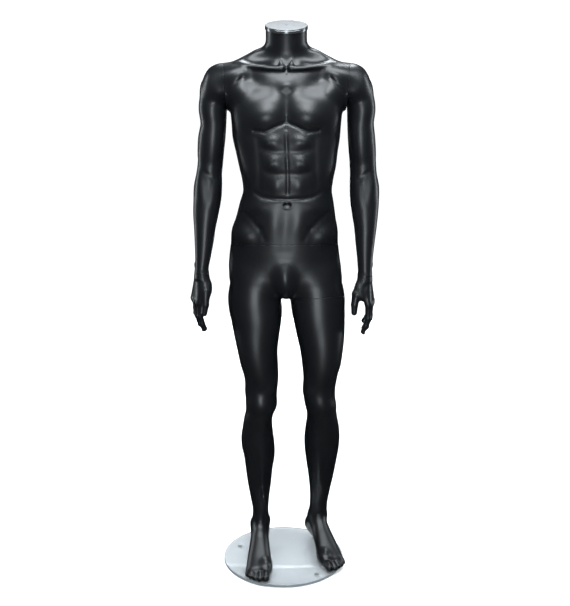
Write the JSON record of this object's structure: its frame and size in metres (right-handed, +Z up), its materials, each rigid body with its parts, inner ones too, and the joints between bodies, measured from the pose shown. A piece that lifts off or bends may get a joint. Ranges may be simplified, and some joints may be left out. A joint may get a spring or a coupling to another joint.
{
  "type": "mannequin",
  "caption": "Headless full-body display mannequin in satin black with a chromed neck cap, standing on a round clear glass base; arms, hands, torso and one leg come off.",
  "frame": {"origin": "centre of the round glass base, on the floor plane under its bumpers", "axes": "+Z up, the figure faces -Y, its left side is +X"},
  "size_m": [0.5606, 0.38, 1.6644],
  "materials": {
    "glass_base": "clear, polished edge",
    "base_bumpers": "clear soft",
    "flange_gasket": "soft washer",
    "foot_flange": "polished",
    "foot_spigot": "zinc-plated",
    "glass_bush": "nylon",
    "base_bolt": "zinc-plated",
    "hips_and_right_leg": "satin black lacquer",
    "foot_socket": "zinc-plated",
    "waist_socket": "zinc-plated",
    "waist_socket_screws": "zinc-plated",
    "left_thigh_socket": "zinc-plated",
    "left_thigh_socket_screws": "zinc-plated",
    "left_leg_shell": "satin black lacquer",
    "left_leg_peg_plate": "zinc-plated",
    "left_leg_plate_screws": "zinc-plated",
    "waist_pin": "zinc-plated",
    "upper_torso_shell": "satin black lacquer",
    "torso_waist_socket": "zinc-plated",
    "torso_waist_screws": "zinc-plated",
    "right_shoulder_socket": "zinc-plated",
    "left_shoulder_socket": "zinc-plated",
    "shoulder_socket_screws": "zinc-plated",
    "neck_ring": "moulded nylon",
    "neck_cap": "polished",
    "neck_cap_plug": "moulded nylon",
    "neck_cap_screw": "polished",
    "right_shoulder_pin": "zinc-plated",
    "right_arm_shell": "satin black lacquer",
    "right_arm_socket": "zinc-plated",
    "right_arm_socket_screws": "zinc-plated",
    "right_wrist_socket": "zinc-plated",
    "right_wrist_screws": "zinc-plated",
    "right_wrist_pin": "zinc-plated",
    "right_hand": "satin black lacquer",
    "right_hand_socket": "zinc-plated",
    "right_hand_screws": "zinc-plated",
    "left_shoulder_pin": "zinc-plated",
    "left_arm_shell": "satin black lacquer",
    "left_arm_socket": "zinc-plated",
    "left_arm_socket_screws": "zinc-plated",
    "left_wrist_socket": "zinc-plated",
    "left_wrist_screws": "zinc-plated",
    "left_wrist_pin": "zinc-plated",
    "left_hand": "satin black lacquer",
    "left_hand_socket": "zinc-plated",
    "left_hand_screws": "zinc-plated"
  },
  "bodies": {
    "base": {"glass_base": "glass_base", "base_bumpers": "base_bumpers", "flange_gasket": "flange_gasket", "foot_flange": "foot_flange", "foot_spigot": "foot_spigot", "glass_bush": "glass_bush", "base_bolt": "base_bolt"},
    "lower_body": {"hips_and_right_leg": "hips_and_right_leg", "foot_socket": "foot_socket", "waist_socket": "waist_socket", "waist_socket_screws": "waist_socket_screws", "left_thigh_socket": "left_thigh_socket", "left_thigh_socket_screws": "left_thigh_socket_screws"},
    "left_leg": {"left_leg_shell": "left_leg_shell", "left_leg_peg_plate": "left_leg_peg_plate", "left_leg_plate_screws": "left_leg_plate_screws"},
    "waist_dowel": {"waist_pin": "waist_pin"},
    "torso": {"upper_torso_shell": "upper_torso_shell", "torso_waist_socket": "torso_waist_socket", "torso_waist_screws": "torso_waist_screws", "right_shoulder_socket": "right_shoulder_socket", "left_shoulder_socket": "left_shoulder_socket", "shoulder_socket_screws": "shoulder_socket_screws", "neck_ring": "neck_ring"},
    "cap": {"neck_cap": "neck_cap", "neck_cap_plug": "neck_cap_plug", "neck_cap_screw": "neck_cap_screw"},
    "right_shoulder_dowel": {"right_shoulder_pin": "right_shoulder_pin"},
    "right_arm": {"right_arm_shell": "right_arm_shell", "right_arm_socket": "right_arm_socket", "right_arm_socket_screws": "right_arm_socket_screws", "right_wrist_socket": "right_wrist_socket", "right_wrist_screws": "right_wrist_screws"},
    "right_wrist_dowel": {"right_wrist_pin": "right_wrist_pin"},
    "right_hand": {"right_hand": "right_hand", "right_hand_socket": "right_hand_socket", "right_hand_screws": "right_hand_screws"},
    "left_shoulder_dowel": {"left_shoulder_pin": "left_shoulder_pin"},
    "left_arm": {"left_arm_shell": "left_arm_shell", "left_arm_socket": "left_arm_socket", "left_arm_socket_screws": "left_arm_socket_screws", "left_wrist_socket": "left_wrist_socket", "left_wrist_screws": "left_wrist_screws"},
    "left_wrist_dowel": {"left_wrist_pin": "left_wrist_pin"},
    "left_hand": {"left_hand": "left_hand", "left_hand_socket": "left_hand_socket", "left_hand_screws": "left_hand_screws"}
  },
  "joints": [
    {"name": "mannequin_lift", "type": "slide", "parent": "base", "child": "lower_body", "axis": [0, 0, 1], "range_m": [0, 0.09]},
    {"name": "left_leg_turn", "type": "hinge", "parent": "lower_body", "child": "left_leg", "pos_m": [0.105, 0.03, 0.853], "axis": [-0.0661, 0.2346, 0.9698], "range_deg": [-20, 0]},
    {"name": "waist_lift", "type": "slide", "parent": "lower_body", "child": "waist_dowel", "axis": [0, 0.1478, 0.989], "range_m": [0, 0.07]},
    {"name": "torso_turn", "type": "hinge", "parent": "waist_dowel", "child": "torso", "pos_m": [0.008, 0.03, 1.02], "axis": [0, 0.1478, 0.989], "range_deg": [0, 30]},
    {"name": "neck_cap_lift", "type": "slide", "parent": "torso", "child": "cap", "axis": [0, -0.2419, 0.9703], "range_m": [0, 0.04]},
    {"name": "right_arm_pull", "type": "slide", "parent": "torso", "child": "right_shoulder_dowel", "axis": [-0.9982, 0, -0.0593], "range_m": [0, 0.04]},
    {"name": "right_arm_swing", "type": "hinge", "parent": "right_shoulder_dowel", "child": "right_arm", "pos_m": [-0.166, 0.035, 1.472], "axis": [-0.9982, 0, -0.0593], "range_deg": [-30, 90]},
    {"name": "right_hand_pull", "type": "slide", "parent": "right_arm", "child": "right_wrist_dowel", "axis": [0, 0, -1], "range_m": [0, 0.025]},
    {"name": "right_hand_turn", "type": "hinge", "parent": "right_wrist_dowel", "child": "right_hand", "pos_m": [-0.244, 0.004, 0.938], "axis": [0, 0, -1], "range_deg": [0, 60]},
    {"name": "left_arm_pull", "type": "slide", "parent": "torso", "child": "left_shoulder_dowel", "axis": [0.9982, 0, -0.0593], "range_m": [0, 0.04]},
    {"name": "left_arm_swing", "type": "hinge", "parent": "left_shoulder_dowel", "child": "left_arm", "pos_m": [0.182, 0.035, 1.472], "axis": [-0.9982, 0, 0.0593], "range_deg": [-30, 90]},
    {"name": "left_hand_pull", "type": "slide", "parent": "left_arm", "child": "left_wrist_dowel", "axis": [0, 0, -1], "range_m": [0, 0.025]},
    {"name": "left_hand_turn", "type": "hinge", "parent": "left_wrist_dowel", "child": "left_hand", "pos_m": [0.2425, 0.004, 0.93], "axis": [0, 0, -1], "range_deg": [-60, 0]}
  ]
}
